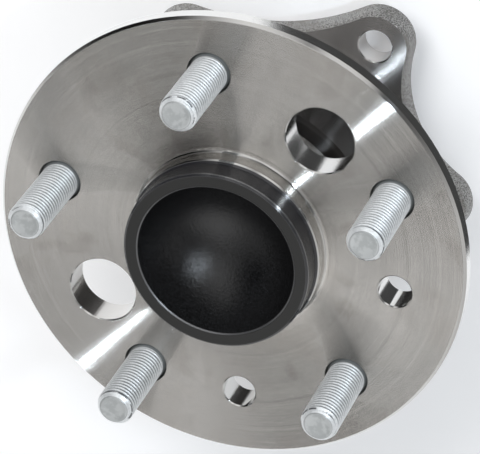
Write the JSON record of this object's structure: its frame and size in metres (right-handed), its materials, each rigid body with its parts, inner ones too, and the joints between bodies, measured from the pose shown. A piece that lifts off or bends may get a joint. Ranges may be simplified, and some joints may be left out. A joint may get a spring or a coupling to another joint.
{
  "type": "wheel hub bearing",
  "caption": "Flanged wheel hub on a sealed double-row ball bearing, with wheel studs, a hollow pilot and a lobed housing flange that bolts to the knuckle.",
  "frame": {"origin": "centre of the wheel flange's outboard face, in the middle of the wheel studs", "axes": "+Z outboard along the spin axis, out of the face the wheel sits on; +X from the axis through one wheel stud at rest"},
  "size_m": [0.1518, 0.1518, 0.1136],
  "materials": {
    "wheel_hub": "turned steel with a black forged pilot",
    "wheel_studs": "bright zinc plate",
    "inner_ring": "ground bearing steel",
    "lock_nut": "phosphated steel",
    "bearing_housing": "raw forging with turned faces",
    "seal_case": "pressed sheet",
    "seal_lips": "moulded rubber",
    "outboard_cage": "glass-filled nylon",
    "inboard_cage": "glass-filled nylon",
    "balls": "polished",
    "end_cap": "pressed and plated sheet"
  },
  "bodies": {
    "housing": {"bearing_housing": "bearing_housing", "seal_case": "seal_case", "seal_lips": "seal_lips", "end_cap": "end_cap"},
    "hub": {"wheel_hub": "wheel_hub", "wheel_studs": "wheel_studs", "inner_ring": "inner_ring", "lock_nut": "lock_nut"},
    "outboard_row": {"outboard_cage": "outboard_cage", "outboard_ball_1": "balls", "outboard_ball_2": "balls", "outboard_ball_3": "balls", "outboard_ball_4": "balls", "outboard_ball_5": "balls", "outboard_ball_6": "balls", "outboard_ball_7": "balls", "outboard_ball_8": "balls", "outboard_ball_9": "balls", "outboard_ball_10": "balls", "outboard_ball_11": "balls", "outboard_ball_12": "balls"},
    "inboard_row": {"inboard_cage": "inboard_cage", "inboard_ball_1": "balls", "inboard_ball_2": "balls", "inboard_ball_3": "balls", "inboard_ball_4": "balls", "inboard_ball_5": "balls", "inboard_ball_6": "balls", "inboard_ball_7": "balls", "inboard_ball_8": "balls", "inboard_ball_9": "balls", "inboard_ball_10": "balls", "inboard_ball_11": "balls", "inboard_ball_12": "balls"}
  },
  "joints": [
    {"name": "hub_spin", "type": "hinge", "parent": "housing", "child": "hub", "pos_m": [0, 0, 0], "axis": [0, 0, 1], "continuous": true},
    {"name": "outboard_row_orbit", "type": "hinge", "parent": "housing", "child": "outboard_row", "pos_m": [0, 0, 0], "axis": [0, 0, 1], "continuous": true},
    {"name": "inboard_row_orbit", "type": "hinge", "parent": "housing", "child": "inboard_row", "pos_m": [0, 0, 0], "axis": [0, 0, 1], "continuous": true}
  ],
  "couplings": [
    {"joint": "outboard_row_orbit", "follows": "hub_spin", "ratio": 0.4133},
    {"joint": "inboard_row_orbit", "follows": "hub_spin", "ratio": 0.4133}
  ]
}
